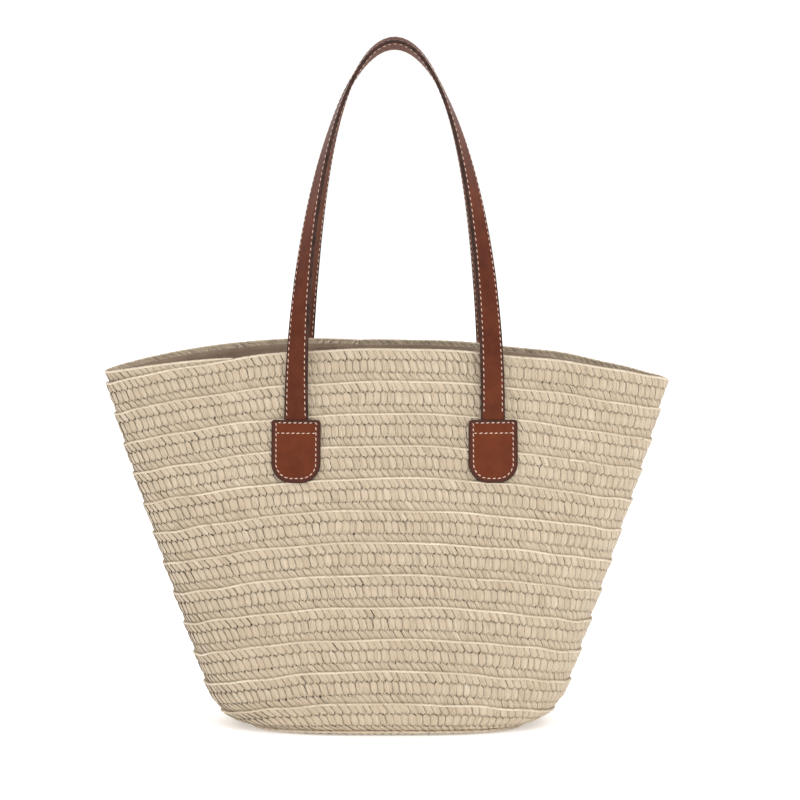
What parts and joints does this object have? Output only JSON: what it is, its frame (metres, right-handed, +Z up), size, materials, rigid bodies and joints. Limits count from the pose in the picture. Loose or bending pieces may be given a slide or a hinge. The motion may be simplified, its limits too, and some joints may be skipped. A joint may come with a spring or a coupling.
{
  "type": "straw beach tote bag",
  "caption": "Flared oval beach tote of plaited straw strip sewn in turns, with a fabric lining and two tall leather shoulder handles on D-shaped tabs.",
  "frame": {"origin": "on the floor under the middle of the flat foot", "axes": "+X to the bag's right as seen from the front, the front faces -Y, +Z up through the mouth"},
  "size_m": [0.4763, 0.1494, 0.58],
  "materials": {
    "straw": "matte plaited paper straw",
    "leather": "satin smooth leather with dark painted edges",
    "leather_inner": "matte raw leather board",
    "lining": "matte plain-weave cotton blend",
    "thread": "waxed sewing thread"
  },
  "bodies": {
    "root": {"base_centre": "straw", "base_turn_1": "straw", "base_turn_2": "straw", "braid_turn_01": "straw", "braid_turn_02": "straw", "braid_turn_03": "straw", "braid_turn_04": "straw", "braid_turn_05": "straw", "braid_turn_06": "straw", "braid_turn_07": "straw", "braid_turn_08": "straw", "braid_turn_09": "straw", "braid_turn_10": "straw", "braid_turn_11": "straw", "braid_turn_12": "straw", "strip_end": "straw", "lining_wall": "lining", "lining_base": "lining", "front_left_tab": "leather", "front_left_tab_stitching": "thread", "front_left_strap_end": "leather", "front_left_backing": "leather_inner", "front_right_tab": "leather", "front_right_tab_stitching": "thread", "front_right_strap_end": "leather", "front_right_backing": "leather_inner", "rear_left_tab": "leather", "rear_left_tab_stitching": "thread", "rear_left_strap_end": "leather", "rear_left_backing": "leather_inner", "rear_right_tab": "leather", "rear_right_tab_stitching": "thread", "rear_right_strap_end": "leather", "rear_right_backing": "leather_inner"},
    "front_handle": {"front_handle_face": "leather", "front_handle_core": "leather_inner", "front_handle_back": "leather"},
    "rear_handle": {"rear_handle_face": "leather", "rear_handle_core": "leather_inner", "rear_handle_back": "leather"}
  },
  "joints": [
    {"name": "front_handle_swing", "type": "hinge", "parent": "root", "child": "front_handle", "pos_m": [0.006, -0.058, 0.2668], "axis": [1, 0, 0], "range_deg": [0, 145]},
    {"name": "rear_handle_swing", "type": "hinge", "parent": "root", "child": "rear_handle", "pos_m": [0.006, 0.058, 0.2668], "axis": [-1, 0, 0], "range_deg": [0, 145]}
  ]
}
